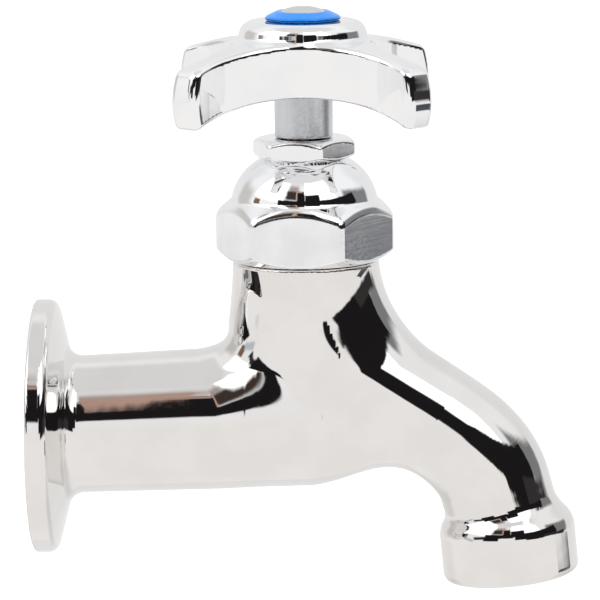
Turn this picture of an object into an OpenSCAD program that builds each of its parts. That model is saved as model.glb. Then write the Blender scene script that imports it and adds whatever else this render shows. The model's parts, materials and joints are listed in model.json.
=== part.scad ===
// Wall-mounted hose bib: a flanged globe valve with a hexagon bonnet, a rising spindle
// and a four-arm handle. Millimetres. The origin is the centre of the flange's back face,
// +X points away from the wall, +Z points up, and the body is symmetric about the plane Y = 0.

/* [Flange and inlet] */
// Diameter of the wall flange
flange_d = 56.6; // [54:0.2:60]
// Thickness of the flange's rim
flange_rim = 4.2; // [3.6:0.1:5]
// Diameter of the inlet tube where it leaves the flange
tube_d = 30.7; // [30:0.1:31.6]
// Rise of the tube's centre line towards the neck, in degrees
tube_rise = 2.3; // [1.5:0.1:3]
// Minor diameter of the female inlet thread
inlet_bore_d = 18.6; // [18:0.1:19.2]
// Depth of the female inlet thread
inlet_depth = 17; // [14:0.5:20]

/* [Valve neck] */
// Distance from the wall to the stem axis
stem_x = 60.6; // [58:0.2:62]
// Diameter of the neck under the bonnet
neck_d = 32.4; // [31.6:0.1:33]
// Height of the neck's top face above the inlet axis
neck_top = 37.6; // [37:0.1:38.2]
// Bore of the neck's thread for the bonnet
neck_thread_d = 26; // [25:0.1:26.6]

/* [Spout and outlet] */
// Diameter of the spout
spout_d = 25.4; // [24.8:0.1:26]
// Bore of the spout
spout_bore_d = 16; // [13:0.5:17]
// Distance from the wall to the centre of the outlet rim
outlet_x = 106.3; // [105.8:0.1:106.8]
// Drop of the outlet rim's centre below the inlet axis
outlet_drop = 33.9; // [33.4:0.1:34.4]
// Lean of the outlet's axis away from the wall, in degrees
outlet_lean = 5.5; // [4.5:0.1:6.5]
// Diameter of the outlet collar
collar_d = 30.2; // [29.8:0.1:30.8]
// Height of the outlet collar
collar_h = 14.3; // [13.6:0.1:15]
// Minor diameter of the female outlet thread
outlet_bore_d = 22.8; // [22.4:0.1:23.2]

/* [Bonnet and packing nut] */
// Bonnet hexagon, across flats
bonnet_af = 34.9; // [34:0.1:35.2]
// Turn of the bonnet's hexagon about the stem axis, in degrees
bonnet_turn = -3; // [-30:1:30]
// Height of the bonnet's hexagon
bonnet_hex_h = 12.6; // [12:0.1:13]
// Packing nut, across flats
nut_af = 20.5; // [20:0.1:21]
// Turn of the packing nut about the stem axis, in degrees
nut_turn = -10; // [-30:1:30]
// Height of the packing nut
nut_h = 4.5; // [4.2:0.1:4.6]

/* [Spindle and washer] */
// Diameter of the spindle where it passes the packing
stem_d = 9.5; // [9.2:0.1:9.8]
// Diameter of the spindle's lifting thread
lift_thread_d = 13.8; // [13:0.1:14.2]
// Travel of the seat washer from shut to open
washer_lift = 6.2; // [5.4:0.1:6.4]
// Diameter of the hole through the valve seat
seat_hole_d = 9.6; // [9:0.1:10]
// Diameter of the rubber seat washer
washer_d = 15.8; // [15:0.1:16]

/* [Handle] */
// Distance from the stem axis to the end of each arm
arm_reach = 36.8; // [35:0.1:37.6]
// Width of an arm at its end
arm_tip_w = 9; // [8.6:0.1:10]
// Diameter of the handle's round boss
boss_d = 28.8; // [28:0.1:29.6]
// Height of the boss's top face above the inlet axis
boss_top = 90.8; // [90.2:0.1:91.2]
// Drop of the arms from the boss to their ends
arm_droop = 6.2; // [5.2:0.1:6.6]
// Height of the arms' sides
arm_h = 12; // [11:0.1:12.6]
// Turn of the handle about the stem axis, in degrees
handle_turn = 1.7; // [-45:0.1:45]
// Diameter of the sleeve under the handle
sleeve_d = 12.9; // [12.6:0.1:13.4]

/* [Hidden] */
$fn = 96;

// Clearances
fit = 0.05;             // radial, between round pieces that are assembled or turn
slack = 0.3;            // between pieces that move past each other

// Casting
flange_corner_r = 0.8;
flange_slope = 3.2;     // rise of the flange's front from its rim to the tube
tube_fillet_r = 2.6;
bowl_r = 15.8;          // rounded end of the lower chamber, outside
bowl_z = 2.4;
neck_waist_r = 15;      // the neck is a little thinner where it meets the tube
neck_waist_z = 24;

// Passages
chamber_r = 7;          // lower chamber
chamber_z = -2.5;
chamber_end_r = 7.2;
upper_r = 11.8;         // upper chamber, around the seat
upper_floor = 8;
upper_top = 28;
seat_thread_r = 7;
seat_thread_low = 1.5;

// The spout's bore is straight, then bends, then follows the outlet's axis
spout_fall = 33.7;      // degrees below the horizontal
bend_start = [97, -4.1];
bend_r = 15;
bore_run = 38;          // length of the straight stretch
joint_lap = 0.3;

// The spout grows out of the neck as a cone, with a rounded hollow filled in under it
root_start = [63, 18.6];
root_r = 17.4;
root_end = [84, 4.6];
belly = [74.4, 4.9];
belly_r = 13.2;

// Outlet, measured up from the rim along the outlet's axis
collar_corner_r = 1.8;
thread_run = 9;         // free thread below the snap ring
groove_h = 1.2;
groove_r = 11.9;
insert_h = 4.2;         // the flow straightener
screen_h = 0.6;
outlet_gasket_h = 0.9;

// Valve stack, heights above the inlet axis
seat_crown = 10.2;
seat_flange_r = 8.4;
washer_low = 10.3;
washer_h = 3.2;
holder_top = 16;
hub_top = 21.3;
button_low = 16.5;
button_top = 19.5;
shank_low = 22;
thread_low = 26;
lift_bore_top = 53;
thread_top = lift_bore_top - washer_lift - slack;
box_floor = 54.5;
box_r = 6.6;
bonnet_top = 63.3;
dome_r = 16.8;
dome_bend = 13.5;        // radius of the dome's arc, and where its centre lies
dome_middle = 3.25;
dome_drop = 2.2;
dome_top = 59.95;
ring_r = 9.45;
ring_top = 60.4;
neck_thread_r = 8.3;    // male thread that the packing nut screws on to
gland_low = 59.8;
gland_top = 63.4;
nut_low = 60.45;
square_low = 76;
spindle_top = 84;
pocket_floor = 84.3;
pocket_r = 6.8;
square_w = 6.6;
screw_r = 2;
screw_head_r = 4;
screw_head_h = 2.4;
lock_washer_h = 0.9;
arm_top = 87;           // top of the arms where they meet the boss
sleeve_low = 65.1;
boss_corner_r = 2.4;
arm_corner = 28;        // the arms' outer corners are trimmed off here
index_r = 8.3;
index_face_r = 4.95;
index_rim_z = 92.9;
index_top_z = 93.9;

// Points of a circular arc, from one angle to another
function arc(centre, radius, from, to, steps = 8) =
    [for (i = [0:steps]) let (a = from + (to - from) * i / steps)
        centre + radius * [cos(a), sin(a)]];

// Places its children on the stem axis
module on_stem() {
    translate([stem_x, 0, 0]) children();
}

// Places its children at the outlet rim, with +Z up the outlet's axis
module at_outlet() {
    translate([outlet_x, 0, -outlet_drop]) rotate([0, -outlet_lean, 0]) children();
}

// Turns a shape that stands on +Z to lie along +X
module along_x() {
    rotate([0, 90, 0]) children();
}

// A round tube or washer
module ring(outer, inner, low, high) {
    difference() {
        translate([0, 0, low]) cylinder(r = outer, h = high - low);
        translate([0, 0, low - 1]) cylinder(r = inner, h = high - low + 2);
    }
}

// A hexagon nut blank with the corners turned off at both ends
module hex_blank(across_flats, low, high, low_r, high_r, chamfer) {
    corner_r = across_flats / sqrt(3);
    intersection() {
        translate([0, 0, low]) cylinder(r = corner_r, h = high - low, $fn = 6);
        rotate_extrude() polygon([[0, low], [low_r, low], [corner_r, low + chamfer],
            [corner_r, high - chamfer], [high_r, high], [0, high]]);
    }
}

// Flange with its sloping front and the fillet into the tube
module flange() {
    r = flange_d / 2;
    t = tube_d / 2;
    foot = flange_rim + flange_slope;
    along_x() rotate_extrude() polygon(concat(
        [[0, 0]],
        arc([r - flange_corner_r, flange_corner_r], flange_corner_r, -90, 0, 4),
        arc([r - 1.4, flange_rim - 0.9], 1.4, 0, 60, 5),
        [[r - 3, flange_rim + 1.1]],
        arc([t + tube_fillet_r, foot + tube_fillet_r], tube_fillet_r, 270, 180, 8),
        [[t, foot + tube_fillet_r + 2], [0, foot + tube_fillet_r + 2]]));
}

// Inlet tube, leaning up slightly, with the rounded end under the neck
module tube() {
    start = 8;
    translate([start, 0, start * tan(tube_rise)]) rotate([0, -tube_rise, 0]) along_x()
        cylinder(r1 = tube_d / 2, r2 = bowl_r, h = (stem_x - start) / cos(tube_rise));
    translate([stem_x, 0, bowl_z]) sphere(r = bowl_r + 0.1);
}

// Neck, slightly thinner at its waist
module neck() {
    on_stem() rotate_extrude() polygon([[0, bowl_z], [neck_waist_r, bowl_z],
        [neck_waist_r, neck_waist_z], [neck_d / 2, neck_top], [0, neck_top]]);
}

// A round rod that runs along the spout's fall, bends down and runs on along the outlet's axis.
// The bend is a hair thicker than the straight runs, which end just inside it.
module bent_rod(radius, run, drop) {
    d = [cos(spout_fall), -sin(spout_fall)];
    centre = bend_start + bend_r * [d[1], -d[0]];
    start = bend_start - run * d;
    translate([start[0], 0, start[1]]) rotate([0, 90 + spout_fall, 0])
        cylinder(r = radius, h = run + joint_lap);
    translate([centre[0], 0, centre[1]]) {
        rotate([90, 0, 0]) rotate([0, 0, outlet_lean])
            rotate_extrude(angle = 90 - spout_fall - outlet_lean)
                translate([bend_r, 0]) circle(r = radius + fit);
        rotate([0, 180 - outlet_lean, 0]) translate([-bend_r, 0, -joint_lap])
            cylinder(r = radius, h = drop + joint_lap);
    }
}

// Outside of the spout, with its thicker root in the neck
module spout() {
    fall = root_end - root_start;
    bent_rod(spout_d / 2, bore_run - 16, 8);
    translate([root_start[0], 0, root_start[1]]) rotate([0, 90 + atan2(-fall[1], fall[0]), 0])
        cylinder(r1 = root_r, r2 = spout_d / 2 + 0.1, h = norm(fall));
    translate([belly[0], 0, belly[1]]) sphere(r = belly_r);
}

// Outlet collar
module collar() {
    r = collar_d / 2;
    at_outlet() rotate_extrude() polygon(concat(
        [[0, 0]],
        arc([r - collar_corner_r, collar_corner_r], collar_corner_r, -90, 0, 6),
        arc([r - 1.5, collar_h - 1.2], 1.2, 0, 60, 4),
        [[r - 3.2, collar_h + 0.6], [0, collar_h + 0.6]]));
}

// Inlet thread, lower chamber and seat hole
module inlet_passage() {
    along_x() translate([0, 0, -1]) cylinder(r = inlet_bore_d / 2, h = inlet_depth + 1);
    translate([inlet_depth - 1, 0, chamber_z]) along_x()
        cylinder(r = chamber_r, h = stem_x - inlet_depth + 1);
    translate([stem_x, 0, chamber_z]) sphere(r = chamber_end_r);
    on_stem() translate([0, 0, seat_thread_low]) cylinder(r = seat_thread_r, h = upper_floor);
}

// Upper chamber and the thread for the bonnet
module neck_passage() {
    on_stem() {
        translate([0, 0, upper_floor]) cylinder(r = upper_r, h = upper_top - upper_floor + 1);
        translate([0, 0, upper_top]) cylinder(r = neck_thread_d / 2, h = neck_top - upper_top + 1);
    }
}

// Bore of the spout
module spout_passage() {
    bent_rod(spout_bore_d / 2, bore_run, 4);
}

// Height, above the rim, of the shoulder that the outlet gasket bears on
function seat_of_insert() = thread_run + groove_h + insert_h + screen_h + outlet_gasket_h;

// Female outlet thread, with the groove for the snap ring and the seat above it
module outlet_passage() {
    at_outlet() {
        translate([0, 0, -1]) cylinder(r = outlet_bore_d / 2, h = seat_of_insert() + 1);
        translate([0, 0, thread_run]) cylinder(r = groove_r, h = groove_h);
    }
}

module valve_body() {
    color("lightgray") difference() {
        union() {
            flange();
            tube();
            neck();
            spout();
            collar();
        }
        inlet_passage();
        neck_passage();
        spout_passage();
        outlet_passage();
    }
}

// Renewable seat, screwed into the web between the chambers
module valve_seat() {
    color("darkgoldenrod") on_stem() difference() {
        rotate_extrude() polygon([[0, seat_thread_low + 0.5],
            [seat_thread_r - fit, seat_thread_low + 0.5], [seat_thread_r - fit, upper_floor],
            [seat_flange_r, upper_floor], [seat_flange_r, upper_floor + 1.4],
            [seat_hole_d / 2 + 1.2, seat_crown], [0, seat_crown]]);
        cylinder(r = seat_hole_d / 2, h = seat_crown + 1);
    }
}

// Bonnet: male thread, hexagon, dome, and the neck that holds the packing
module bonnet() {
    hex_top = neck_top + bonnet_hex_h;
    color("lightgray") on_stem() difference() {
        union() {
            rotate([0, 0, bonnet_turn]) hex_blank(bonnet_af, neck_top, hex_top,
                neck_d / 2, dome_r + 0.4, 2.2);
            translate([0, 0, upper_top]) cylinder(r = neck_thread_d / 2 - fit, h = 10);
            rotate_extrude() polygon(concat([[0, hex_top - 1], [dome_r, hex_top - 1]],
                [for (a = [10:7:59])
                    [dome_middle + dome_bend * cos(a), hex_top - dome_drop + dome_bend * sin(a)]],
                [[ring_r, dome_top], [ring_r, ring_top], [neck_thread_r, ring_top],
                [neck_thread_r, bonnet_top], [0, bonnet_top]]));
        }
        translate([0, 0, upper_top - 1]) cylinder(r = lift_thread_d / 2 + fit,
            h = lift_bore_top - upper_top + 1);
        translate([0, 0, lift_bore_top - 1]) cylinder(r = stem_d / 2 + fit, h = 12);
        translate([0, 0, box_floor]) cylinder(r = box_r, h = bonnet_top - box_floor + 1);
        ring(neck_thread_d / 2, neck_thread_d / 2 - 1.2, neck_top - 1.3, neck_top);
    }
}

// Flat ring between the neck and the bonnet, in a groove beside the thread
module bonnet_gasket() {
    color("saddlebrown") on_stem()
        ring(neck_thread_d / 2 - fit, neck_thread_d / 2 - 1.2 + fit, neck_top - 1.25, neck_top - 0.05);
}

module packing_washer() {
    color("darkgoldenrod") on_stem()
        ring(box_r - fit, stem_d / 2 + 0.15, box_floor, box_floor + 0.8);
}

module stem_packing() {
    color("dimgray") on_stem() ring(box_r - fit, stem_d / 2 + fit, box_floor + 0.8, gland_low);
}

// Gland follower, pressed on to the packing by the nut
module packing_gland() {
    color("darkgoldenrod") on_stem() ring(box_r - fit, stem_d / 2 + 0.15, gland_low, gland_top);
}

module packing_nut() {
    color("lightgray") on_stem() difference() {
        rotate([0, 0, nut_turn]) hex_blank(nut_af, nut_low, nut_low + nut_h,
            nut_af / 2 + 0.2, nut_af / 2 - 0.4, 1);
        translate([0, 0, nut_low - 1]) cylinder(r = neck_thread_r + fit, h = gland_top - nut_low + 1);
        cylinder(r = stem_d / 2 + slack, h = 80);
    }
}

// Spindle: swivel button, shank, lifting thread, stem and squared end
module spindle() {
    color("goldenrod") on_stem() difference() {
        union() {
            rotate_extrude() polygon([[0, button_low], [3.5, button_low], [3.5, button_top],
                [2.4, button_top], [2.4, shank_low], [5.2, shank_low], [5.2, thread_low],
                [lift_thread_d / 2, thread_low + 1], [lift_thread_d / 2, thread_top - 1],
                [stem_d / 2, thread_top], [stem_d / 2, square_low], [0, square_low]]);
            rotate([0, 0, handle_turn]) translate([-square_w / 2, -square_w / 2, square_low - 1])
                cube([square_w, square_w, spindle_top - square_low + 1]);
        }
        translate([0, 0, spindle_top - 12]) cylinder(r = screw_r + fit, h = 13);
    }
}

// Swivel holder that carries the seat washer in its cup
module washer_holder() {
    color("goldenrod") on_stem() difference() {
        rotate_extrude() polygon([[0, washer_low + 0.9], [washer_d / 2 + 1.1, washer_low + 0.9],
            [washer_d / 2 + 1.1, holder_top], [6.2, holder_top + 0.6], [6.2, hub_top], [0, hub_top]]);
        translate([0, 0, washer_low]) cylinder(r = washer_d / 2 + fit, h = washer_h);
        translate([0, 0, washer_low]) cylinder(r = screw_r + fit, h = 8);
        translate([0, 0, button_low - 0.1]) cylinder(r = 3.7, h = 8);
        translate([0, 0, button_top + 0.3]) cylinder(r = 4.4, h = 0.8);
    }
}

// Open ring that keeps the spindle's button in the holder
module holder_clip() {
    color("silver") on_stem() difference() {
        ring(4.4 - fit, 2.8, button_top + 0.35, button_top + 1.05);
        translate([0, -0.8, 0]) cube([6, 1.6, 30]);
    }
}

module seat_washer() {
    color("black") on_stem() ring(washer_d / 2, screw_r + 0.2, washer_low, washer_low + washer_h);
}

// Slotted screw that holds the seat washer
module washer_screw() {
    color("darkgoldenrod") on_stem() difference() {
        union() {
            translate([0, 0, washer_low - 1.6]) cylinder(r1 = 3, r2 = 3.9, h = 1.6);
            translate([0, 0, washer_low - 0.1]) cylinder(r = screw_r, h = 6);
        }
        translate([-5, -0.4, washer_low - 2]) cube([10, 0.8, 1.2]);
    }
}

// Outline of the four arms, with a round hollow between each two
module arm_outline() {
    // The hollows' circle passes through the arm's corners and comes as near as the boss
    corner = rotate_point([arm_reach, arm_tip_w / 2], -45);
    near = boss_d / 2 + 0.3;
    far = (corner[0] * corner[0] + corner[1] * corner[1] - near * near) / (2 * (corner[0] - near));
    difference() {
        intersection() {
            rotate(45) square(2 * arm_reach, center = true);
            square(2 * arm_corner, center = true);
        }
        for (a = [0:90:270]) rotate(a) translate([far, 0]) circle(r = far - near, $fn = 192);
    }
}

function rotate_point(p, a) = [p[0] * cos(a) - p[1] * sin(a), p[0] * sin(a) + p[1] * cos(a)];

// Domed disc that the arms are cut from
module arm_dome() {
    edge = arm_reach + 2;
    near = boss_d / 2;
    bend = (edge * edge - near * near) / (2 * arm_droop);
    drop = [for (i = [0:8]) let (r = near + (edge - near) * i / 8)
        [r, (r * r - near * near) / (2 * bend)]];
    rotate_extrude() polygon(concat([[0, arm_top]], [for (d = drop) [d[0], arm_top - d[1]]],
        [for (i = [8:-1:0]) [drop[i][0], arm_top - arm_h - drop[i][1]]], [[0, arm_top - arm_h]]));
}

module handle() {
    color("lightgray") on_stem() rotate([0, 0, handle_turn]) difference() {
        union() {
            intersection() {
                arm_dome();
                translate([0, 0, 60]) linear_extrude(height = 32) arm_outline();
            }
            rotate_extrude() polygon(concat([[0, arm_top - arm_h]], [[boss_d / 2, arm_top - arm_h]],
                arc([boss_d / 2 - boss_corner_r, boss_top - boss_corner_r], boss_corner_r, 0, 90),
                [[0, boss_top]]));
            translate([0, 0, sleeve_low]) cylinder(r = sleeve_d / 2, h = 12);
        }
        translate([0, 0, sleeve_low - 1]) cylinder(r = stem_d / 2 + fit, h = square_low - sleeve_low + 1);
        translate([-square_w / 2 - fit, -square_w / 2 - fit, square_low - 1])
            cube([square_w + 2 * fit, square_w + 2 * fit, 20]);
        translate([0, 0, pocket_floor]) cylinder(r = pocket_r, h = 20);
    }
}

// Pan-head screw that holds the handle on the squared end
module handle_screw() {
    under_head = pocket_floor + lock_washer_h;
    color("silver") on_stem() difference() {
        union() {
            translate([0, 0, spindle_top - 10]) cylinder(r = screw_r, h = under_head - spindle_top + 10.1);
            translate([0, 0, under_head]) cylinder(r = screw_head_r, h = screw_head_h);
        }
        translate([-5, -0.5, under_head + screw_head_h - 1.1]) cube([10, 1, 2]);
    }
}

module lock_washer() {
    color("silver") on_stem() difference() {
        ring(screw_head_r + 0.3, screw_r + 0.2, pocket_floor, pocket_floor + lock_washer_h);
        rotate([0, 0, 60]) translate([0, -0.3, pocket_floor - 1]) cube([6, 0.6, 3]);
    }
}

// Blue ring that snaps into the pocket in the boss
module index_ring() {
    color("dodgerblue") on_stem() rotate_extrude() polygon(concat(
        [[index_face_r + fit, boss_top - 1.8], [pocket_r - fit, boss_top - 1.8],
        [pocket_r - fit, boss_top + 0.02], [index_r - 0.4, boss_top + 0.02]],
        arc([index_r - 0.8, boss_top + 0.8], 0.8, -40, 45, 5),
        [[index_face_r + 0.9, index_rim_z], [index_face_r + fit, index_rim_z]]));
}

// Plain domed cap in the middle of the ring
module index_disc() {
    rise = index_top_z - index_rim_z;
    dome = (index_face_r * index_face_r + rise * rise) / (2 * rise);
    half = asin(index_face_r / dome);
    color("silver") on_stem() rotate_extrude() polygon(concat(
        [[0, boss_top - 1], [index_face_r, boss_top - 1]],
        [for (i = [0:8]) let (a = half * (1 - i / 8))
            [dome * sin(a), index_top_z - dome + dome * cos(a)]]));
}

module outlet_gasket() {
    top = seat_of_insert();
    color("black") at_outlet() ring(outlet_bore_d / 2 - fit, 8.6, top - outlet_gasket_h, top);
}

// Disc of round channels that calms the flow
module flow_straightener() {
    low = thread_run + groove_h;
    color("whitesmoke") at_outlet() difference() {
        translate([0, 0, low]) cylinder(r = outlet_bore_d / 2 - fit, h = insert_h);
        for (row = [0, 1, 2]) for (i = [0:max(0, row * 6 - 1)])
            rotate([0, 0, row == 0 ? 0 : i * 60 / row]) translate([row * 3.2, 0, low - 1])
                cylinder(r = 1.2, h = insert_h + 2, $fn = 24);
    }
}

// Thin strainer above the straightener
module outlet_screen() {
    low = thread_run + groove_h + insert_h;
    color("silver") at_outlet() difference() {
        translate([0, 0, low]) cylinder(r = outlet_bore_d / 2 - fit, h = screen_h);
        for (x = [-6:2:6]) for (y = [-6:2:6])
            if (norm([x, y]) < 8) translate([x, y, low - 1]) cylinder(r = 0.7, h = screen_h + 2, $fn = 16);
    }
}

// Open spring ring in the groove under the straightener
module snap_ring() {
    color("silver") at_outlet() difference() {
        ring(groove_r - fit, groove_r - 1.7, thread_run + 0.1, thread_run + groove_h);
        translate([0, -1.5, 0]) cube([14, 3, 30]);
    }
}

valve_body();
valve_seat();
bonnet();
bonnet_gasket();
packing_washer();
stem_packing();
packing_gland();
packing_nut();
spindle();
washer_holder();
holder_clip();
seat_washer();
washer_screw();
handle();
handle_screw();
lock_washer();
index_ring();
index_disc();
outlet_gasket();
flow_straightener();
outlet_screen();
snap_ring();
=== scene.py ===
"""Looks of the hose bib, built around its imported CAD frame.

The casting, bonnet, packing nut and handle are distance fields, written from a few driving
dimensions and turned into smooth meshes. Lengths in the shape functions are millimetres, in
the CAD frame: +X away from the wall, +Z up the spindle, symmetric about Y = 0.
"""
import json
import math

import bpy
import numpy as np
from mathutils import Matrix, Vector

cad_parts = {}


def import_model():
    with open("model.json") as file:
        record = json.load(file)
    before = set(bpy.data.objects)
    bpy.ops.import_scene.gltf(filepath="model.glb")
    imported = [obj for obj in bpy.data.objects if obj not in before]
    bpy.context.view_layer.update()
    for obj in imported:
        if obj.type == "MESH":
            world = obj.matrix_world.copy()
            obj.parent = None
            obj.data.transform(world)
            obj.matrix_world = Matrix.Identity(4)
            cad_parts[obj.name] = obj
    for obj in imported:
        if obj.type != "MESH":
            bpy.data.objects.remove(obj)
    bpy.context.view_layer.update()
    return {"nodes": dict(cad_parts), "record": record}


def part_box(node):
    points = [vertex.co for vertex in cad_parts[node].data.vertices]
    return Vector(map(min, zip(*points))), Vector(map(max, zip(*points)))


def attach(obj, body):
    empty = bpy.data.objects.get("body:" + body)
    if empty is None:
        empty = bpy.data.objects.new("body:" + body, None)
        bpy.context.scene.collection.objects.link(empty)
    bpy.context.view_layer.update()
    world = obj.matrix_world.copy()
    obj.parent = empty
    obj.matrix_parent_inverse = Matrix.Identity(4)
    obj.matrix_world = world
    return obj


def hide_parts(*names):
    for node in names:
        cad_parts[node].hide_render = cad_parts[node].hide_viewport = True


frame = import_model()

MM = 0.001
BODY, SPINDLE = "faucet", "spindle_turn"


# ---------------------------------------------------------------- driving dimensions
def node_box(node):
    """Lowest and highest corner of a CAD node, in millimetres."""
    low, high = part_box(node)
    return np.array(low) / MM, np.array(high) / MM


def stem_axis():
    """X of the stem's axis, from the spindle's box."""
    low, high = node_box("spindle")
    return (low[0] + high[0]) / 2


STEM_X = stem_axis()
OUTLET = next(mount for mount in frame["record"]["mounts"] if mount["name"] == "outlet_thread")
OUTLET_RIM = np.array(OUTLET["pos_m"]) / MM
OUTLET_UP = -np.array(OUTLET["axis"])
OUTLET_LEAN = math.degrees(math.atan2(-OUTLET_UP[0], OUTLET_UP[2]))


# ---------------------------------------------------------------- distance fields
def join(a, b, radius):
    """Union of two fields with a round fillet."""
    both = np.hypot(np.maximum(radius - a, 0), np.maximum(radius - b, 0))
    return np.maximum(radius, np.minimum(a, b)) - both


def cut(a, b, radius):
    """Field a with field b taken away, its edge rounded."""
    return -join(-a, b, radius)


def meet(a, b, radius):
    """Intersection of two fields, its edge rounded."""
    return -join(-a, -b, radius)


def along(x, z, start, end):
    """Distance along and squared distance from a segment in the plane Y = 0."""
    start, end = np.array(start, float), np.array(end, float)
    run = end - start
    length = np.hypot(*run)
    run = run / length
    t = np.clip((x - start[0]) * run[0] + (z - start[1]) * run[1], 0, length)
    return t, (x - start[0] - t * run[0]) ** 2 + (z - start[1] - t * run[1]) ** 2


def smooth_path(points, per_span=8):
    """Points on a smooth curve through the given ones."""
    p = np.array(points, float)
    p = np.vstack([2 * p[0] - p[1], p, 2 * p[-1] - p[-2]])
    out = []
    for i in range(1, len(p) - 2):
        for t in np.arange(per_span) / per_span:
            out.append(0.5 * (2 * p[i] + (p[i + 1] - p[i - 1]) * t
                + (2 * p[i - 1] - 5 * p[i] + 4 * p[i + 1] - p[i + 2]) * t ** 2
                + (3 * p[i] - p[i - 1] - 3 * p[i + 1] + p[i + 2]) * t ** 3))
    return np.array(out + [p[-2]])


def path_field(x, z, path):
    """Distance along a planar path and squared distance from it."""
    best = np.full(x.shape, 1e9)
    where = np.zeros(x.shape)
    start = 0.0
    for a, b in zip(path[:-1], path[1:]):
        t, d = along(x, z, a, b)
        nearer = d < best
        best = np.where(nearer, d, best)
        where = np.where(nearer, start + t, where)
        start += np.hypot(*(b - a))
    return where, best


def soft_step(x):
    """A ramp that starts smoothly: 0 below, x above."""
    return 0.5 * (x + np.sqrt(x * x + 4))


def slab(z, low, high):
    """Field of the layer between two heights."""
    return np.maximum(z - high, low - z)


# ---------------------------------------------------------------- valve body casting
FLANGE_R = 28.3
FLANGE_FRONT, FLANGE_FRONT_R = 7.5, 17.2
TUBE_PATH = smooth_path([(0, 0), (20, 0.8), (40, 1.6), (50, 1.75), (STEM_X, 1.35)], 4)
TUBE_R = 15.35
TUBE_SWELL = 0.016
TUBE_TAPER = 0.0017
NECK_R = 14.9
NECK_FLARE = 0.115
NECK_TOP = 37.6
SPOUT_R = 12.5
SPOUT_PATH = smooth_path([(62, 19.5), (78, 8.8), (90.7, 0.3), (95.8, -3.5), (99.6, -7.6),
    (101.9, -11.6), (103.2, -15.8), (104.4, -20.4)])
COLLAR_R = 15.15
COLLAR_SHOULDER = 12.2
INLET_R, INLET_SLEEVE_R, INLET_DEPTH, INLET_PITCH = 9.3, 11.0, 17, 1.814
OUTLET_R, OUTLET_SLEEVE_R, OUTLET_PITCH = 11.4, 12.0, 0.94
INLET_BORE_Z = -2.5
INLET_BORE_R = 7
CHAMBER_R = 11.8
BONNET_THREAD_R = 13.0
SPOUT_BORE_R = 8
SPOUT_BORE_PATH = smooth_path([(66, 16.6), (90.7, 0.3), (98.5, -6.2), (102.2, -12.5),
    (104.6, -20)])


def flange_field(x, r):
    """A disc with a slightly conical front."""
    front = (x - FLANGE_FRONT + 0.258 * (r - FLANGE_FRONT_R)) / 1.033
    return meet(r - FLANGE_R, front, 1.5)


def tube_field(x, y, z):
    """The inlet tube, which swells a little along its length and shrinks again in the neck."""
    t, d = path_field(x, z, TUBE_PATH)
    r = TUBE_R + TUBE_SWELL * np.clip(t - 12, 0, 30) - TUBE_TAPER * np.clip(t - 36, 0, 28) ** 2
    return np.sqrt(d + y * y) - r


def neck_field(x, y, z):
    """The upright barrel under the bonnet, flared towards its top."""
    r = NECK_R + NECK_FLARE * (soft_step(z - 27.5) - 0.07)
    side = np.hypot(x - STEM_X, y) - r
    return np.maximum(side, 2 - z)


def spout_field(x, y, z):
    """The bent spout, wider than it is high where it leaves the neck."""
    t, d = path_field(x, z, SPOUT_PATH)
    squeeze = 0.885 + 0.115 * np.clip((t - 6) / 26, 0, 1)
    return (np.sqrt(d + (y * squeeze) ** 2) - SPOUT_R) * 0.95


def outlet_coordinates(x, y, z):
    """Radius from the outlet's axis and height above its rim."""
    dx, dz = x - OUTLET_RIM[0], z - OUTLET_RIM[2]
    h = dx * OUTLET_UP[0] + dz * OUTLET_UP[2]
    side = dx * OUTLET_UP[2] - dz * OUTLET_UP[0]
    return np.hypot(side, y), h


def collar_field(x, y, z):
    r, h = outlet_coordinates(x, y, z)
    body = meet(r - COLLAR_R, -h, 1.8)
    bevel = (r - COLLAR_R + (h - COLLAR_SHOULDER) * 0.8) / 1.28
    return meet(body, bevel, 1.2)


def casting_outside(x, y, z):
    """The casting without its bores.

    The fillet between tube and neck is round behind the stem, wider at the sides, and almost
    sharp in front of it. The one at the spout is wide in the middle and narrow at the sides."""
    f = join(tube_field(x, y, z), flange_field(x, np.hypot(y, z)), 2.6)
    side = np.clip(np.abs(y) / 12, 0, 1) ** 2
    behind = 0.5 - 0.5 * np.tanh((x - STEM_X + 6) / 7)
    f = join(f, neck_field(x, y, z), 0.4 + (4.4 + 5.2 * side) * behind)
    f = join(f, spout_field(x, y, z), 13.5 - 11 * np.clip(np.abs(y) / 14, 0, 1) ** 3)
    f = join(f, collar_field(x, y, z), 0.9)
    f = meet(f, z - NECK_TOP, 0.7)
    return meet(f, -x, 0.7)


def casting_inside(x, y, z):
    """The way of the water: inlet, its bore, seat, chamber, bonnet thread, spout and mouth."""
    stem_r = np.hypot(x - STEM_X, y)
    inlet = np.maximum(np.hypot(y, z) - INLET_SLEEVE_R, x - INLET_DEPTH)
    _, d = along(x, z, (INLET_DEPTH - 1, INLET_BORE_Z), (STEM_X, INLET_BORE_Z))
    inlet_bore = np.sqrt(d + y * y) - INLET_BORE_R
    seat = np.maximum(stem_r - INLET_BORE_R, slab(z, 1.5, 9))
    chamber = np.maximum(stem_r - CHAMBER_R, slab(z, 8, 29))
    thread = np.maximum(stem_r - BONNET_THREAD_R, 28 - z)
    _, d = path_field(x, z, SPOUT_BORE_PATH)
    spout_bore = np.sqrt(d + y * y) - SPOUT_BORE_R
    r, h = outlet_coordinates(x, y, z)
    mouth = np.minimum(np.maximum(r - OUTLET_SLEEVE_R, h - 10.2), np.maximum(r - 11.42, h - 15.9))
    f = np.minimum(np.minimum(inlet, inlet_bore), np.minimum(seat, chamber))
    return np.minimum(np.minimum(f, thread), np.minimum(spout_bore, mouth))


def casting_field(x, y, z):
    return cut(casting_outside(x, y, z), casting_inside(x, y, z), 0.4)


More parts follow.
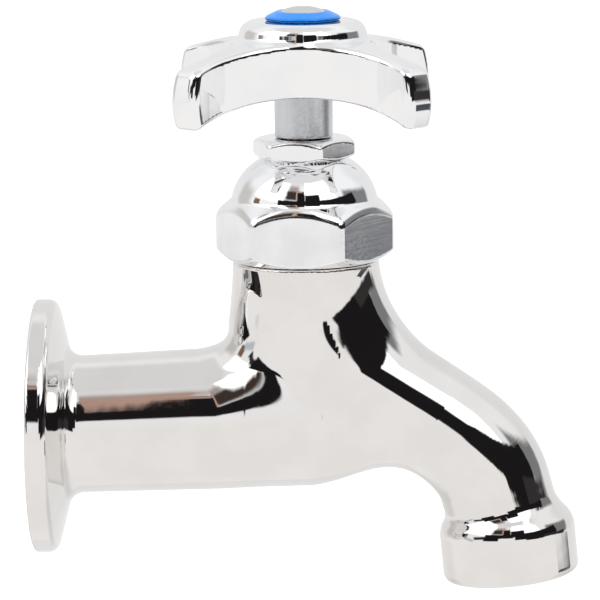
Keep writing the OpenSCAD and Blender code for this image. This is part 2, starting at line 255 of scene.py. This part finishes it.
# ---------------------------------------------------------------- bonnet, nut and handle
BONNET_TURN = math.radians(-3.2)
BONNET_FLAT = 17.45
BONNET_LOW, BONNET_TOP = 38.35, 50.4
BONNET_CORNER = 2.2
DOME_CENTRE = (3.75, 49.0)
DOME_R = 12.7
NUT_TURN = math.radians(-10)
NUT_FLAT = 10.25
NUT_CORNER = 1.8
NUT_LOW, NUT_TOP = 60.6, 64.75
HANDLE_TURN = math.radians(1.7)
ARM_REACH = 36.8
ARM_TIP = 9.0
ARM_LOW, ARM_TOP = 75, 87
HOLLOW_R = 14.9
TIP_BARREL = 0.028
BOSS_R = 14.4
BOSS_TOP = 90.85
SLEEVE_R = 6.45
SLEEVE_LOW = 65.1
SLEEVE_TOP = 75.2


def about_stem(x, y, turn):
    """Coordinates from the stem's axis, turned with the piece."""
    dx = x - STEM_X
    return dx * math.cos(turn) + y * math.sin(turn), y * math.cos(turn) - dx * math.sin(turn)


def hexagon(u, v, flat, corner):
    """Distance outside a hexagon with flats that face -v and +v and rounded corners."""
    r = np.hypot(u, v)
    turn = np.mod(np.arctan2(v, u), math.pi / 3) - math.pi / 6
    ahead, aside = r * np.cos(turn) - (flat - corner), np.abs(r * np.sin(turn))
    past = np.maximum(aside - (flat - corner) / math.sqrt(3), 0)
    return np.where(ahead > 0, np.hypot(ahead, past), np.maximum(ahead, -corner)) - corner


def bonnet_field(x, y, z):
    """Hexagon, dome, neck and lower thread of the bonnet, bored for the spindle."""
    u, v = about_stem(x, y, BONNET_TURN)
    r = np.hypot(u, v)
    top = ((z - BONNET_TOP) + 0.82 * (r - BONNET_FLAT)) / 1.293
    low = ((BONNET_LOW - z) + 0.62 * (r - BONNET_FLAT)) / 1.18
    body = meet(meet(hexagon(u, v, BONNET_FLAT, BONNET_CORNER), top, 1.3), low, 0.5)
    body = np.maximum(body, NECK_TOP + 0.25 - z)
    dome = np.hypot(np.maximum(r - DOME_CENTRE[0], 0), z - DOME_CENTRE[1]) - DOME_R
    dome = np.maximum(dome, 49.2 - z)
    f = join(body, dome, 0.35)
    collar = meet(r - 9.4, z - 60.4, 0.35)
    f = join(f, np.maximum(collar, 50 - z), 0.7)
    f = np.minimum(f, np.maximum(r - 8.3, slab(z, 50, 63.3)))
    f = np.minimum(f, np.maximum(r - 12.95, slab(z, 28, 45)))
    bore = np.minimum(np.maximum(r - 6.95, z - 53), r - 4.8)
    bore = np.minimum(bore, np.maximum(r - 6.6, 54.5 - z))
    groove = np.maximum(11.75 - r, slab(z, 36.3, NECK_TOP))
    return np.maximum(np.maximum(f, -bore), -np.maximum(groove, r - 14))


def nut_field(x, y, z):
    """The packing nut, bevelled above and below."""
    u, v = about_stem(x, y, NUT_TURN)
    r = np.hypot(u, v)
    top = ((z - NUT_TOP) + 0.62 * (r - NUT_FLAT)) / 1.18
    low = ((NUT_LOW - z) + 0.5 * (r - NUT_FLAT)) / 1.12
    body = meet(meet(hexagon(u, v, NUT_FLAT, NUT_CORNER), top, 0.45), low, 0.4)
    body = meet(body, z - 64.95, 0.4)
    body = np.maximum(body, 60.45 - z)
    bore = np.minimum(np.maximum(r - 8.35, z - 63.4), r - 5.05)
    return cut(body, bore, 0.25)


def handle_field(x, y, z):
    """Four arms with hollow sides that curve down from a boss, and the sleeve under it."""
    u, v = about_stem(x, y, HANDLE_TURN)
    r = np.hypot(u, v)
    tip_u = (ARM_REACH + ARM_TIP / 2) / math.sqrt(2)
    tip_v = (ARM_REACH - ARM_TIP / 2) / math.sqrt(2)
    far = (tip_u ** 2 + tip_v ** 2 - HOLLOW_R ** 2) / (2 * (tip_u - HOLLOW_R))
    long, short = np.maximum(np.abs(u), np.abs(v)), np.minimum(np.abs(u), np.abs(v))
    hollow = far - HOLLOW_R - np.hypot(long - far, short)
    fall = np.maximum(r * r - BOSS_R ** 2, 0)
    up = z - ARM_LOW + fall / 190
    end = (long + short) / math.sqrt(2) - ARM_REACH + TIP_BARREL * (up - 6.3) ** 2
    outline = meet(hollow, end, 2.4)
    slope = np.sqrt(1 + (r / 125) ** 2)
    arms = meet(outline, (z - ARM_TOP + fall / 235) / slope, 1.3)
    arms = meet(arms, (ARM_LOW - z - fall / 190) / slope, 1.2)
    side = (r - BOSS_R - 0.1 + 0.3 * (z - ARM_TOP)) / 1.044
    boss = meet(side, z - BOSS_TOP, 2.1)
    boss = np.maximum(boss, ARM_TOP - 1 - z)
    f = join(arms, boss, 0.7)
    sleeve = meet(np.maximum(r - SLEEVE_R, z - 80), SLEEVE_LOW - z, 0.35)
    f = join(f, sleeve, 0.6)
    square = np.maximum(np.maximum(np.abs(u), np.abs(v)) - 3.35, 75 - z)
    bore = np.minimum(np.maximum(r - 4.8, z - 76), square)
    bore = np.minimum(bore, np.maximum(r - 6.8, 84.3 - z))
    return cut(f, bore, 0.2)


# ---------------------------------------------------------------- meshes
NEWTON_STEPS = 4
THREAD_ROWS = 10


def gradient(field, p, h=0.02):
    """Gradient of a field at an array of points."""
    out = np.empty_like(p)
    for axis in range(3):
        d = np.zeros(3)
        d[axis] = h
        a, b = (p + d).T, (p - d).T
        out[:, axis] = (field(*a) - field(*b)) / (2 * h)
    return out


def surface_net(field, low, high, step):
    """Smooth quads on the zero surface of a field, with the field's own normals.

    Each grid cell that the surface crosses gets one point, at the mean of the crossings on the
    cell's edges, which is then moved onto the surface."""
    low = np.array(low, float)
    count = np.ceil((np.array(high) - low) / step).astype(int) + 1
    axes = [low[i] + step * np.arange(count[i]) for i in range(3)]
    value = np.empty(tuple(count))
    for i, x in enumerate(axes[0]):
        yy, zz = np.meshgrid(axes[1], axes[2], indexing="ij")
        value[i] = field(np.full_like(yy, x), yy, zz)
    inside = value < 0
    cells = np.zeros(tuple(count - 1), dtype=np.uint8)
    for i in (0, 1):
        for j in (0, 1):
            for k in (0, 1):
                n = count - 1
                cells += inside[i:i + n[0], j:j + n[1], k:k + n[2]]
    used = (cells > 0) & (cells < 8)
    index = np.full(used.shape, -1, dtype=np.int64)
    index[used] = np.arange(used.sum())
    total = np.zeros((used.sum(), 3))
    hits = np.zeros(used.sum())
    quads = []
    for axis in range(3):
        a = inside.take(range(count[axis] - 1), axis)
        b = inside.take(range(1, count[axis]), axis)
        edge = np.argwhere(a != b)
        other = [k for k in range(3) if k != axis]
        ok = np.all([(edge[:, k] > 0) & (edge[:, k] < count[k] - 1) for k in other], axis=0)
        edge = edge[ok]
        ahead = edge.copy()
        ahead[:, axis] += 1
        va, vb = value[tuple(edge.T)], value[tuple(ahead.T)]
        point = low + step * edge
        point[:, axis] += step * va / (va - vb)
        around = []
        for du, dv in ((0, 0), (1, 0), (1, 1), (0, 1)):
            cell = edge.copy()
            cell[:, other[0]] -= du
            cell[:, other[1]] -= dv
            around.append(index[tuple(cell.T)])
        for cell in around:
            for k in range(3):
                total[:, k] += np.bincount(cell, point[:, k], len(total))
            hits += np.bincount(cell, minlength=len(total))
        quad = np.stack(around, 1)
        flip = (va > vb) == (axis != 1)
        quad[flip] = quad[flip][:, ::-1]
        quads.append(quad)
    points = total / np.maximum(hits, 1)[:, None]
    for _ in range(NEWTON_STEPS):
        g = gradient(field, points)
        reach = field(*points.T) / np.maximum((g * g).sum(1), 1e-6)
        points -= np.clip(reach, -step / 2, step / 2)[:, None] * g
    normal = gradient(field, points)
    normal /= np.maximum(np.linalg.norm(normal, axis=1), 1e-9)[:, None]
    return points, np.vstack(quads), normal


def make_mesh(name, points, faces, normals=None, finish=None):
    """A Blender object from points in millimetres. finish numbers each face's material."""
    mesh = bpy.data.meshes.new(name)
    mesh.from_pydata((np.asarray(points, float) * MM).tolist(), [], [list(f) for f in faces])
    mesh.polygons.foreach_set("use_smooth", np.ones(len(mesh.polygons), bool))
    if finish is not None:
        mesh.polygons.foreach_set("material_index", np.asarray(finish, np.int32))
    if normals is not None:
        mesh.normals_split_custom_set_from_vertices(np.asarray(normals, float).tolist())
    obj = bpy.data.objects.new(name, mesh)
    bpy.context.scene.collection.objects.link(obj)
    return obj


def net_piece(name, field, low, high, step, finish=None):
    """A piece meshed from its field. finish(centres, normals) numbers the faces' materials."""
    points, faces, normals = surface_net(field, low, high, step)
    index = None
    if finish:
        index = finish(points[faces].mean(1), normals[faces].mean(1))
    return make_mesh(name, points, faces.tolist(), normals, index)


def rounded(corners, steps=5):
    """Points and outward normals of a closed profile of (r, z, corner radius), counter-clockwise.

    A corner on the axis, r = 0, stays sharp."""
    out = []
    n = len(corners)
    for k, (r, z, radius) in enumerate(corners):
        p = np.array((r, z), float)
        before = np.array(corners[k - 1][:2], float) - p
        after = np.array(corners[(k + 1) % n][:2], float) - p
        before, after = before / np.hypot(*before), after / np.hypot(*after)
        n1, n2 = np.array((-before[1], before[0])), np.array((after[1], -after[0]))
        if radius == 0:
            out += [(p, n1), (p, n2)] if r > 0 else [(p, n2 if after[1] == 0 else n1)]
            continue
        turn = n1[0] * n2[1] - n1[1] * n2[0]
        half = math.acos(np.clip(before @ after, -1, 1)) / 2
        sign = 1 if turn > 0 else -1
        centre = p + (before + after) / np.hypot(*(before + after)) * radius / math.sin(half)
        a1, a2 = math.atan2(*n1[::-1]), math.atan2(*n2[::-1])
        sweep = (a2 - a1 + math.pi) % (2 * math.pi) - math.pi
        for t in np.arange(steps + 1) / steps:
            d = np.array((math.cos(a1 + sweep * t), math.sin(a1 + sweep * t)))
            out.append((centre + sign * radius * d, d))
    return out


def lathe(name, corners, place, segments=96):
    """A turned piece. place maps points of a piece that stands on +Z into the frame."""
    profile = rounded(corners)
    points, normals, rows = [], [], []
    for p, d in profile:
        if p[0] < 1e-6:
            rows.append([len(points)] * segments)
            points.append((0, 0, p[1]))
            normals.append((0, 0, math.copysign(1, d[1])))
            continue
        rows.append(list(range(len(points), len(points) + segments)))
        for k in range(segments):
            c, w = math.cos(2 * math.pi * k / segments), math.sin(2 * math.pi * k / segments)
            points.append((p[0] * c, p[0] * w, p[1]))
            normals.append((d[0] * c, d[0] * w, d[1]))
    faces = []
    for a, b in zip(rows, rows[1:] + rows[:1]):
        for k in range(segments):
            m = (k + 1) % segments
            face = list(dict.fromkeys((a[k], a[m], b[m], b[k])))
            if len(face) > 2:
                faces.append(face)
    place = Matrix(place)
    points = np.array([place @ Vector(p) for p in points])
    normals = np.array([place.to_3x3() @ Vector(d) for d in normals])
    keep = [f for f in faces if len({tuple(points[i].round(7)) for i in f}) > 2]
    return make_mesh(name, points, keep, normals)


def screw_thread(name, inner, outer, wall, length, pitch, place, segments=120):
    """A sleeve with a female thread between radii inner and outer, a bevelled mouth and a
    plain outside."""
    rows = int(length / pitch * THREAD_ROWS)
    z = np.linspace(0, length, rows + 1)
    angle = 2 * math.pi * np.arange(segments) / segments
    zz, aa = np.meshgrid(z, angle, indexing="ij")
    tooth = np.clip(0.5 + 0.9 * np.cos(2 * math.pi * (zz / pitch - aa / (2 * math.pi))), 0, 1)
    r = inner + (outer - inner) * tooth
    r = np.maximum(r, wall - 0.15 - zz * 0.9)
    grid = np.stack([r * np.cos(aa), r * np.sin(aa), zz], -1).reshape(-1, 3)
    ring = np.stack([wall * np.cos(angle), wall * np.sin(angle)], -1)
    low = np.hstack([ring, np.zeros((segments, 1))])
    high = np.hstack([ring, np.full((segments, 1), length)])
    points = np.vstack([grid, high, low])
    faces = []
    total = rows + 3
    for i in range(total):
        a, b = i * segments, ((i + 1) % total) * segments
        for k in range(segments):
            m = (k + 1) % segments
            faces.append((b + k, b + m, a + m, a + k))
    place = Matrix(place)
    obj = make_mesh(name, np.array([place @ Vector(p) for p in points]), faces)
    obj.data.set_sharp_from_angle(angle=math.radians(50))
    return obj


def standing(x, z, lean=0):
    """Placement of a piece that stands on the plane Y = 0, leaning towards -X by lean degrees."""
    return Matrix.Translation((x, 0, z)) @ Matrix.Rotation(math.radians(-lean), 4, "Y")


# ---------------------------------------------------------------- materials
class Graph:
    """Short calls for building a node tree."""

    def __init__(self, tree):
        self.tree = tree

    def node(self, kind, **settings):
        made = self.tree.nodes.new(kind)
        for key, value in settings.items():
            setattr(made, key, value)
        return made

    def put(self, socket, value):
        if isinstance(value, bpy.types.NodeSocket):
            self.tree.links.new(value, socket)
        else:
            socket.default_value = value

    def math(self, operation, *values):
        made = self.node("ShaderNodeMath", operation=operation)
        for k, value in enumerate(values):
            self.put(made.inputs[k], value)
        return made.outputs[0]

    def ramp(self, value, low, high, to_low=0.0, to_high=1.0):
        made = self.node("ShaderNodeMapRange", interpolation_type="SMOOTHSTEP")
        for k, v in enumerate((value, low, high, to_low, to_high)):
            self.put(made.inputs[k], v)
        return made.outputs[0]

    def mix(self, factor, a, b):
        made = self.node("ShaderNodeMix", data_type="RGBA")
        self.put(made.inputs[0], factor)
        self.put(made.inputs[6], a)
        self.put(made.inputs[7], b)
        return made.outputs[2]

    def noise(self, where, scale, detail=2.0, stretch=None):
        if stretch:
            spread = self.node("ShaderNodeMapping")
            self.put(spread.inputs["Vector"], where)
            spread.inputs["Scale"].default_value = stretch
            where = spread.outputs[0]
        made = self.node("ShaderNodeTexNoise")
        self.put(made.inputs["Vector"], where)
        made.inputs["Scale"].default_value = scale
        made.inputs["Detail"].default_value = detail
        return made.outputs["Fac"]


def material(name, colour, shade, metallic, rough, bumps, wear, wear_rough=0.0, spots=None):
    """A finish with noise in its colour and roughness, bumps and worn edges.

    colour and shade are the two colours that the slow noise runs between. rough is the lowest
    and highest roughness. bumps are (scale, height in millimetres, stretch). wear is the colour
    at convex edges. spots are (scale, colour) of small specks."""
    m = bpy.data.materials.new(name)
    m.use_nodes = True
    g = Graph(m.node_tree)
    shader = m.node_tree.nodes["Principled BSDF"]
    where = g.node("ShaderNodeTexCoord").outputs["Object"]
    slow = g.ramp(g.noise(where, 95, 4.0), 0.35, 0.65)
    fine = g.ramp(g.noise(where, 1400, 3.0), 0.3, 0.7)
    tone = g.mix(slow, (*colour, 1), (*shade, 1))
    mottle = g.math("MULTIPLY", fine, slow)
    roughness = g.math("MULTIPLY_ADD", mottle, rough[1] - rough[0], rough[0])
    if spots:
        speck = g.ramp(g.noise(where, spots[0], 1.0), 0.74, 0.80)
        tone = g.mix(speck, tone, (*spots[1], 1))
    point = g.node("ShaderNodeNewGeometry").outputs["Pointiness"]
    worn = g.math("MULTIPLY", g.ramp(point, 0.52, 0.60), g.ramp(g.noise(where, 700), 0.35, 0.6))
    tone = g.mix(worn, tone, (*wear, 1))
    roughness = g.math("MULTIPLY_ADD", worn, wear_rough, roughness)
    g.put(shader.inputs["Base Color"], tone)
    g.put(shader.inputs["Roughness"], roughness)
    shader.inputs["Metallic"].default_value = metallic
    normal = None
    for scale, height, stretch in bumps:
        bump = g.node("ShaderNodeBump")
        bump.inputs["Strength"].default_value = 1.0
        bump.inputs["Distance"].default_value = height * MM
        g.put(bump.inputs["Height"], g.noise(where, scale, 3.0, stretch))
        if normal:
            g.put(bump.inputs["Normal"], normal)
        normal = bump.outputs[0]
    g.put(shader.inputs["Normal"], normal)
    return m


ALL_MATERIALS = {
    "casting": dict(colour=(0.84, 0.825, 0.815), shade=(0.81, 0.795, 0.78), metallic=1,
        rough=(0.02, 0.06), bumps=((55, 0.05, None), (2600, 0.0004, None)),
        wear=(0.90, 0.89, 0.87), wear_rough=0.03),
    "trim": dict(colour=(0.93, 0.935, 0.945), shade=(0.90, 0.905, 0.92), metallic=1,
        rough=(0.015, 0.05), bumps=((90, 0.012, None), (3000, 0.0004, None)),
        wear=(0.97, 0.97, 0.97), wear_rough=0.03),
    "brushed": dict(colour=(0.92, 0.925, 0.94), shade=(0.84, 0.85, 0.875), metallic=1,
        rough=(0.12, 0.22), bumps=((60, 0.006, (1, 1, 46)), (170, 0.002, (1, 1, 28))),
        wear=(0.97, 0.97, 0.97), wear_rough=-0.08),
    "handle": dict(colour=(0.94, 0.945, 0.955), shade=(0.91, 0.915, 0.93), metallic=1,
        rough=(0.015, 0.045), bumps=((75, 0.016, None), (3000, 0.0004, None)),
        wear=(0.98, 0.98, 0.98), wear_rough=0.02),
    "sleeve": dict(colour=(0.66, 0.68, 0.71), shade=(0.56, 0.58, 0.61), metallic=1,
        rough=(0.24, 0.38), bumps=((420, 0.02, None), (120, 0.02, (1, 1, 8))),
        wear=(0.82, 0.82, 0.84), wear_rough=-0.05),
    "brass": dict(colour=(0.72, 0.50, 0.22), shade=(0.60, 0.40, 0.17), metallic=1,
        rough=(0.18, 0.36), bumps=((160, 0.01, (1, 1, 26)),), wear=(0.88, 0.68, 0.36),
        wear_rough=-0.05, spots=(900, (0.42, 0.27, 0.13))),
    "steel": dict(colour=(0.58, 0.57, 0.55), shade=(0.50, 0.49, 0.48), metallic=1,
        rough=(0.2, 0.34), bumps=((900, 0.004, (1, 1, 4)),), wear=(0.74, 0.73, 0.71),
        wear_rough=-0.06),
    "rubber": dict(colour=(0.025, 0.025, 0.026), shade=(0.04, 0.039, 0.038), metallic=0,
        rough=(0.55, 0.75), bumps=((1500, 0.02, None),), wear=(0.07, 0.07, 0.07)),
    "fibre": dict(colour=(0.30, 0.17, 0.10), shade=(0.22, 0.12, 0.07), metallic=0,
        rough=(0.7, 0.85), bumps=((1300, 0.03, (1, 1, 5)),), wear=(0.40, 0.26, 0.17)),
    "graphite": dict(colour=(0.075, 0.075, 0.078), shade=(0.05, 0.05, 0.052), metallic=0.3,
        rough=(0.4, 0.6), bumps=((600, 0.06, (1, 1, 2)),), wear=(0.16, 0.16, 0.16)),
    "blue": dict(colour=(0.010, 0.265, 0.87), shade=(0.008, 0.235, 0.81), metallic=0,
        rough=(0.22, 0.34), bumps=((900, 0.004, None),), wear=(0.06, 0.33, 0.88)),
    "cap": dict(colour=(0.70, 0.70, 0.69), shade=(0.62, 0.62, 0.62), metallic=0.75,
        rough=(0.3, 0.42), bumps=((700, 0.006, (1, 6, 1)),), wear=(0.82, 0.82, 0.81)),
    "white": dict(colour=(0.78, 0.77, 0.74), shade=(0.70, 0.69, 0.66), metallic=0,
        rough=(0.4, 0.55), bumps=((800, 0.008, None),), wear=(0.86, 0.85, 0.83)),
}
MATERIALS = {name: material(name, **facts) for name, facts in ALL_MATERIALS.items()}


# ---------------------------------------------------------------- scene
CAMERA_ANGLES = (2.6, 9.4, -0.55)
CAMERA_TARGET = (0.0594, 0, 0.02835)
CAMERA_BACK = 1.045
FLOOR_Z = -0.13
SUN = 1.6


def camera():
    """A long lens, a little above and to the right. Its angles are yaw, lift and roll."""
    data = bpy.data.cameras.new("camera")
    data.lens = 282
    data.sensor_width = 36
    data.clip_start = 0.05
    cam = bpy.data.objects.new("camera", data)
    bpy.context.scene.collection.objects.link(cam)
    yaw, lift, roll = (math.radians(a) for a in CAMERA_ANGLES)
    back = Vector((math.sin(yaw) * math.cos(lift), -math.cos(yaw) * math.cos(lift),
        math.sin(lift)))
    cam.location = Vector(CAMERA_TARGET) + back * CAMERA_BACK
    right = Vector((math.cos(yaw), math.sin(yaw), 0))
    up = back.cross(right)
    r = right * math.cos(roll) + up * math.sin(roll)
    u = -right * math.sin(roll) + up * math.cos(roll)
    cam.rotation_euler = Matrix((r, u, back)).transposed().to_euler()
    bpy.context.scene.camera = cam


def floor():
    """A wide pale floor, kept out of the glossy reflections so that the studio map fills them."""
    bpy.ops.mesh.primitive_plane_add(size=12, location=(0, 0, FLOOR_Z))
    obj = bpy.context.object
    obj.name = "floor"
    m = bpy.data.materials.new("floor")
    m.use_nodes = True
    b = m.node_tree.nodes["Principled BSDF"]
    b.inputs["Base Color"].default_value = (0.93, 0.93, 0.93, 1)
    b.inputs["Roughness"].default_value = 0.9
    b.inputs["Specular IOR Level"].default_value = 0
    obj.data.materials.append(m)
    obj.visible_glossy = False


def overhead():
    """A wide soft light from above, kept out of the glossy reflections too."""
    sun = bpy.data.lights.new("overhead", "SUN")
    sun.energy = SUN
    sun.angle = math.radians(60)
    lamp = bpy.data.objects.new("overhead", sun)
    lamp.visible_glossy = False
    bpy.context.scene.collection.objects.link(lamp)


GREY = (0.78, 0.78, 0.78)
WARM = (0.93, 0.915, 0.90)
SOFTBOX = (1.6, 1.6, 1.6)
BLACK = (0.012, 0.011, 0.012)
COAL = (0.035, 0.033, 0.033)
BROWN = (0.05, 0.036, 0.031)
PINK = (0.50, 0.33, 0.27)
# Cards of the studio: azimuth from the camera's side (+ is +X) and elevation of the middle,
# half sizes, tilt and softness, all in degrees, then the brightness. Cards with a softness of
# 1 or less keep straight edges. The edges of the others waver a little.
CARDS = [
    (180, 20, 62, 26, 0, 8, (0.84, 0.84, 0.84)),
    (0, 80, 180, 20, 0, 6, GREY),
    (-62, 41, 29, 19, 0, 1.5, SOFTBOX),
    (31, 45, 28, 19, 0, 1.5, SOFTBOX),
    (-112, 12, 16, 14, 0, 7, (0.60, 0.58, 0.55)),
    (-81, 13, 5.5, 7, 0, 1.5, (0.22, 0.13, 0.09)),
    (-70, 4, 9, 4, -20, 2, (0.55, 0.58, 0.63)),
    (-45, 13.5, 17, 4.5, 14, 1.5, COAL),
    (-20, 50, 11, 7, 0, 6, (0.42, 0.36, 0.33)),
    (-19, 37, 12, 9, 0, 3, BROWN),
    (-30, 14.5, 13, 11.5, 0, 1.2, BLACK),
    (-12, 20, 20, 6.5, 0, 1.2, BLACK),
    (-4, 31, 6.5, 15, 0, 1.2, BLACK),
    (-12, 41, 1.3, 13, 5, 0.7, PINK),
    (-6, 44.5, 5, 1.2, 0, 0.8, PINK),
    (97, 16, 26, 12, -20, 4, (0.22, 0.225, 0.23)),
    (3, 21, 17, 5, 0, 1.2, BLACK),
    (24, 14.5, 12.5, 12, 0, 1.2, BLACK),
    (16, 31, 13, 7, 0, 1.5, BLACK),
    (62, 12, 31, 14.5, 1, 1.2, BLACK),
    (88, 1, 24, 5, -6, 1.5, COAL),
    (105, -10.7, 17, 3.3, 0, 0.7, (0.06, 0.065, 0.08)),
    (172, -38, 14, 24, 0, 3, (0.86, 0.86, 0.86)),
    (-172, -38, 14, 24, 0, 3, (0.86, 0.86, 0.86)),
    (130, -30, 30, 14, 0, 12, (0.72, 0.72, 0.71)),
    (-140, -30, 26, 12, 0, 10, (0.74, 0.73, 0.71)),
]


def world():
    """The studio that the chrome reflects, as soft-edged cards placed by direction."""
    w = bpy.data.worlds.new("studio")
    bpy.context.scene.world = w
    w.use_nodes = True
    g = Graph(w.node_tree)
    where = g.node("ShaderNodeTexCoord").outputs["Generated"]
    axes = g.node("ShaderNodeSeparateXYZ")
    g.put(axes.inputs[0], where)
    x, y, z = axes.outputs
    degree = 180 / math.pi
    azimuth = g.math("MULTIPLY", g.math("ARCTAN2", x, g.math("MULTIPLY", y, -1.0)), degree)
    elevation = g.math("MULTIPLY", g.math("ARCSINE", z), degree)
    sway = g.math("MULTIPLY_ADD", g.noise(where, 9, 3.0), 5.0, -2.5)
    soft_azimuth = g.math("ADD", azimuth, sway)
    bob = g.math("MULTIPLY_ADD", g.noise(where, 7, 3.0, (1.3, 1.1, 1.7)), 3.0, -1.5)
    soft_elevation = g.math("ADD", elevation, bob)
    sky = g.mix(g.ramp(soft_elevation, -4, 10), (*WARM, 1), (0.95, 0.95, 0.95, 1))
    for az, el, half_az, half_el, tilt, soft, colour in CARDS:
        c, s = math.cos(math.radians(tilt)), math.sin(math.radians(tilt))
        off = g.math("SUBTRACT", soft_azimuth if soft > 1 else azimuth, float(az))
        off = g.math("WRAP", off, 180.0, -180.0)
        up = g.math("SUBTRACT", soft_elevation if soft > 1 else elevation, float(el))
        u = g.math("ABSOLUTE", g.math("MULTIPLY_ADD", off, c, g.math("MULTIPLY", up, s)))
        v = g.math("ABSOLUTE", g.math("MULTIPLY_ADD", off, -s, g.math("MULTIPLY", up, c)))
        across = g.ramp(u, half_az - soft, half_az + soft, 1.0, 0.0)
        high = g.ramp(v, half_el - soft, half_el + soft, 1.0, 0.0)
        sky = g.mix(g.math("MULTIPLY", across, high), sky, (*colour, 1))
    g.put(w.node_tree.nodes["Background"].inputs["Color"], sky)


# ---------------------------------------------------------------- pieces
def dress(obj, body, slot, nodes, *materials):
    """Gives a piece its materials, hides the nodes it stands for and hangs it on the body it
    rides on. The slot is not used.
    """
    for name in materials:
        obj.data.materials.append(MATERIALS[name])
    if nodes:
        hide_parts(*nodes)
    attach(obj, body)
    return obj


def valve_body():
    obj = net_piece("casting", casting_field, (-1.2, -29.5, -37.4), (123, 29.5, 39), 0.6)
    dress(obj, BODY, "body_chrome", ["valve_body"], "casting")
    inlet = Matrix.Rotation(math.radians(90), 4, "Y")
    sleeve = screw_thread("inlet_thread", INLET_R, 10.4, 10.96, INLET_DEPTH, INLET_PITCH,
        Matrix.Translation((0.4, 0, 0)) @ inlet)
    dress(sleeve, BODY, "plain_brass", ["valve_body"], "brass")
    rim = standing(OUTLET_RIM[0], OUTLET_RIM[2], OUTLET_LEAN) @ Matrix.Translation((0, 0, 0.5))
    sleeve = screw_thread("outlet_thread", OUTLET_R, 11.82, 11.96, 8.5, OUTLET_PITCH, rim)
    dress(sleeve, BODY, "plain_brass", ["valve_body"], "brass")


def bonnet():
    def flats(centre, normal):
        u, v = about_stem(centre[:, 0], centre[:, 1], BONNET_TURN)
        flat = hexagon(u, v, BONNET_FLAT, BONNET_CORNER) > -0.2
        return (flat & (np.abs(normal[:, 2]) < 0.35)).astype(int)

    low, high = (STEM_X - 20.4, -20.4, 27.2), (STEM_X + 20.4, 20.4, 64.2)
    obj = net_piece("bonnet_chromed", bonnet_field, low, high, 0.34, flats)
    dress(obj, BODY, "trim_chrome", ["bonnet"], "trim", "brushed")
    low, high = (STEM_X - 12.4, -12.4, 59.7), (STEM_X + 12.4, 12.4, 65.7)
    obj = net_piece("packing_nut_chromed", nut_field, low, high, 0.24)
    dress(obj, BODY, "trim_chrome", ["packing_nut"], "trim")


def handle():
    def sleeve(centre, normal):
        r = np.hypot(centre[:, 0] - STEM_X, centre[:, 1])
        return ((r < SLEEVE_R + 0.25) & (centre[:, 2] < SLEEVE_TOP)).astype(int)

    low, high = (STEM_X - 29.3, -29.3, 64.9), (STEM_X + 29.3, 29.3, 92.1)
    obj = net_piece("handle_chromed", handle_field, low, high, 0.4, sleeve)
    dress(obj, SPINDLE, "handle_chrome", ["handle"], "handle", "sleeve")
    on_stem = standing(STEM_X, 0)
    ring = [(5.0, 89.05, 0.2), (6.75, 89.05, 0.3), (6.75, 90.88, 0.1), (8.3, 90.88, 0.5),
        (8.3, 91.75, 0.8), (5.75, 92.95, 0.35), (5.0, 92.75, 0.15)]
    dress(lathe("index_ring_blue", ring, on_stem, 128), SPINDLE, "blue_plastic", ["index_ring"],
        "blue")
    disc = [(0, 89.85, 0), (4.93, 89.85, 0.3), (4.93, 92.85, 0.25), (3.9, 93.35, 2.0),
        (2.2, 93.8, 6.0), (0, 93.9, 0)]
    dress(lathe("index_cap", disc, on_stem, 96), SPINDLE, "silver_cap", ["index_disc"], "cap")


INNER_FINISHES = {
    "brass": ["valve_seat", "packing_washer", "packing_gland", "spindle", "washer_holder",
        "washer_screw"],
    "steel": ["holder_clip", "handle_screw", "lock_washer", "snap_ring", "outlet_screen"],
    "rubber": ["seat_washer", "outlet_gasket"],
    "fibre": ["bonnet_gasket"],
    "graphite": ["stem_packing"],
    "white": ["flow_straightener"],
}


def inner_pieces():
    """Finishes of the CAD nodes that are shown as they are."""
    for finish, nodes in INNER_FINISHES.items():
        for node in nodes:
            for place in frame["nodes"][node].material_slots:
                place.material = MATERIALS[finish]


bpy.context.scene.view_settings.view_transform = "Standard"
camera()
floor()
overhead()
world()
valve_body()
bonnet()
handle()
inner_pieces()
